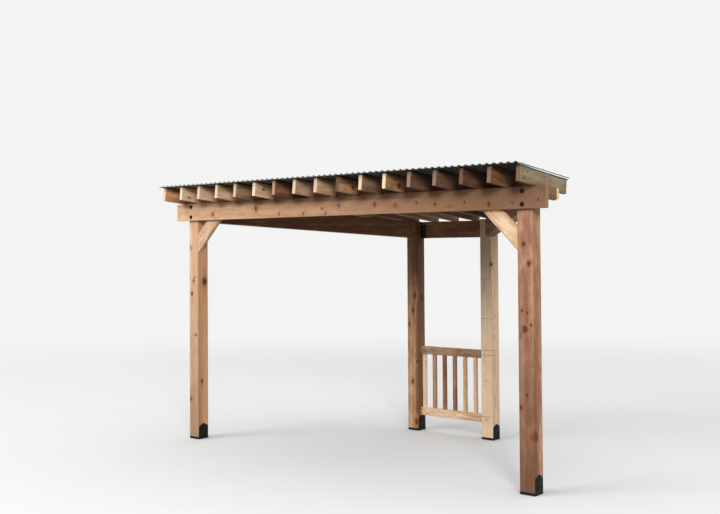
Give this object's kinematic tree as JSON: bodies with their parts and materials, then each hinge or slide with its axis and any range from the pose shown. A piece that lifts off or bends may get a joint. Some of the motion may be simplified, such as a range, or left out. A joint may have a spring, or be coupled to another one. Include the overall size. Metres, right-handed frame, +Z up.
{
  "type": "wooden pergola",
  "caption": "Lean-to timber pergola, trapezoid in plan, with posts on steel bases, knee-braced front beam, close-set rafters under corrugated roofing and a rear railing.",
  "frame": {"origin": "centre of the plan's bounding box, on the ground the post bases stand on", "axes": "+X along the front beam to the right seen from the front, +Y from the front to the rear, +Z up"},
  "size_m": [4.572, 2.455, 2.7322],
  "materials": {
    "post_wood": "smooth dressed softwood, oiled",
    "beam_wood": "smooth dressed softwood, oiled",
    "rafter_wood": "smooth dressed softwood",
    "brace_wood": "smooth dressed softwood",
    "rail_wood": "smooth dressed softwood",
    "black_steel": "black powder coat, satin",
    "roofing": "dark smooth corrugated sheet"
  },
  "bodies": {
    "root": {"balusters": "rail_wood", "beam_end_block_left": "beam_wood", "beam_end_block_right": "beam_wood", "front_beam": "beam_wood", "front_ledger": "beam_wood", "knee_brace_left": "brace_wood", "knee_brace_right": "brace_wood", "post_base_front_left": "black_steel", "post_base_front_right": "black_steel", "post_base_rear_left": "black_steel", "post_base_rear_right": "black_steel", "post_front_left": "post_wood", "post_front_right": "post_wood", "post_rear_left": "post_wood", "post_rear_right": "post_wood", "rafter_01": "rafter_wood", "rafter_02": "rafter_wood", "rafter_03": "rafter_wood", "rafter_04": "rafter_wood", "rafter_05": "rafter_wood", "rafter_06": "rafter_wood", "rafter_07": "rafter_wood", "rafter_08": "rafter_wood", "rafter_09": "rafter_wood", "rafter_10": "rafter_wood", "rafter_11": "rafter_wood", "rafter_12": "rafter_wood", "rafter_13": "rafter_wood", "rafter_14": "rafter_wood", "rafter_15": "rafter_wood", "rafter_16": "rafter_wood", "rafter_17": "rafter_wood", "rail_low": "rail_wood", "rail_top": "rail_wood", "rear_beam": "beam_wood", "rear_beam_hanger_left": "black_steel", "rear_beam_hanger_right": "black_steel", "roof_sheet_1": "roofing", "roof_sheet_2": "roofing", "roof_sheet_3": "roofing", "roof_sheet_4": "roofing", "roof_sheet_5": "roofing", "side_beam_left": "beam_wood", "side_beam_right": "beam_wood"}
  },
  "joints": []
}
